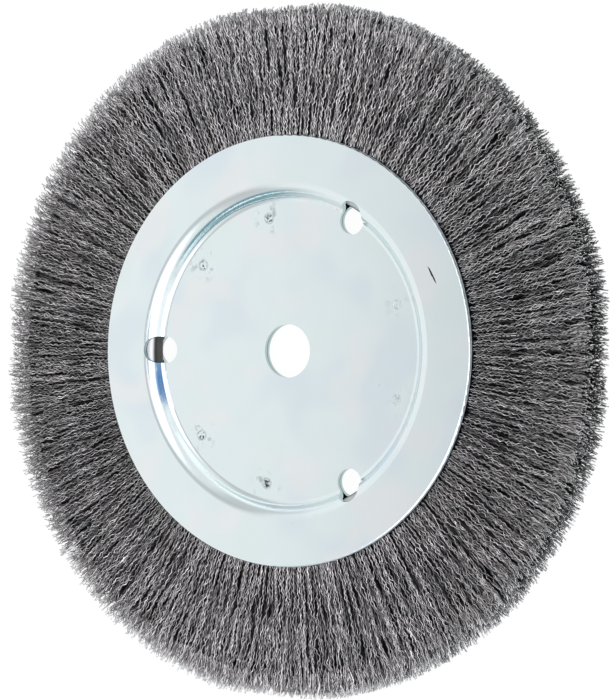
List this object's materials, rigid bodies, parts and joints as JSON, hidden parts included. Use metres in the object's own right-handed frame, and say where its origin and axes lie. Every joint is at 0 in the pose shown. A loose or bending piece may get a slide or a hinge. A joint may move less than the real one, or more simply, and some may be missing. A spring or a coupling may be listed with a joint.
{
  "type": "crimped wire wheel brush",
  "caption": "Narrow round wire brush: crimped steel wire clamped between two dished, zinc-plated face plates with a central arbor hole and drive slots.",
  "frame": {"origin": "centre of the arbor hole, midway between the two face plates", "axes": "+Z along the wheel's axis, out of the front face; +X towards the plain stretch of step between two drive slots"},
  "size_m": [0.2032, 0.2032, 0.0126],
  "materials": {
    "zinc_plate": "bright zinc plate on pressed sheet steel",
    "channel_strip": "plain rolled steel strip",
    "core_wire": "plain drawn steel wire",
    "crimped_wire": "crimped carbon steel wire, grey"
  },
  "bodies": {
    "root": {"front_face_plate": "zinc_plate", "rear_face_plate": "zinc_plate", "retaining_channel": "channel_strip", "core_wire_ring": "core_wire", "wire_tuft_01": "crimped_wire", "wire_tuft_02": "crimped_wire", "wire_tuft_03": "crimped_wire", "wire_tuft_04": "crimped_wire", "wire_tuft_05": "crimped_wire", "wire_tuft_06": "crimped_wire", "wire_tuft_07": "crimped_wire", "wire_tuft_08": "crimped_wire", "wire_tuft_09": "crimped_wire", "wire_tuft_10": "crimped_wire", "wire_tuft_11": "crimped_wire", "wire_tuft_12": "crimped_wire", "wire_tuft_13": "crimped_wire", "wire_tuft_14": "crimped_wire", "wire_tuft_15": "crimped_wire", "wire_tuft_16": "crimped_wire", "wire_tuft_17": "crimped_wire", "wire_tuft_18": "crimped_wire", "wire_tuft_19": "crimped_wire", "wire_tuft_20": "crimped_wire", "wire_tuft_21": "crimped_wire", "wire_tuft_22": "crimped_wire", "wire_tuft_23": "crimped_wire", "wire_tuft_24": "crimped_wire", "wire_tuft_25": "crimped_wire", "wire_tuft_26": "crimped_wire", "wire_tuft_27": "crimped_wire", "wire_tuft_28": "crimped_wire", "wire_tuft_29": "crimped_wire", "wire_tuft_30": "crimped_wire", "wire_tuft_31": "crimped_wire", "wire_tuft_32": "crimped_wire", "wire_tuft_33": "crimped_wire", "wire_tuft_34": "crimped_wire", "wire_tuft_35": "crimped_wire", "wire_tuft_36": "crimped_wire", "wire_tuft_37": "crimped_wire", "wire_tuft_38": "crimped_wire", "wire_tuft_39": "crimped_wire", "wire_tuft_40": "crimped_wire", "wire_tuft_41": "crimped_wire", "wire_tuft_42": "crimped_wire", "wire_tuft_43": "crimped_wire", "wire_tuft_44": "crimped_wire", "wire_tuft_45": "crimped_wire", "wire_tuft_46": "crimped_wire", "wire_tuft_47": "crimped_wire", "wire_tuft_48": "crimped_wire"}
  },
  "joints": []
}
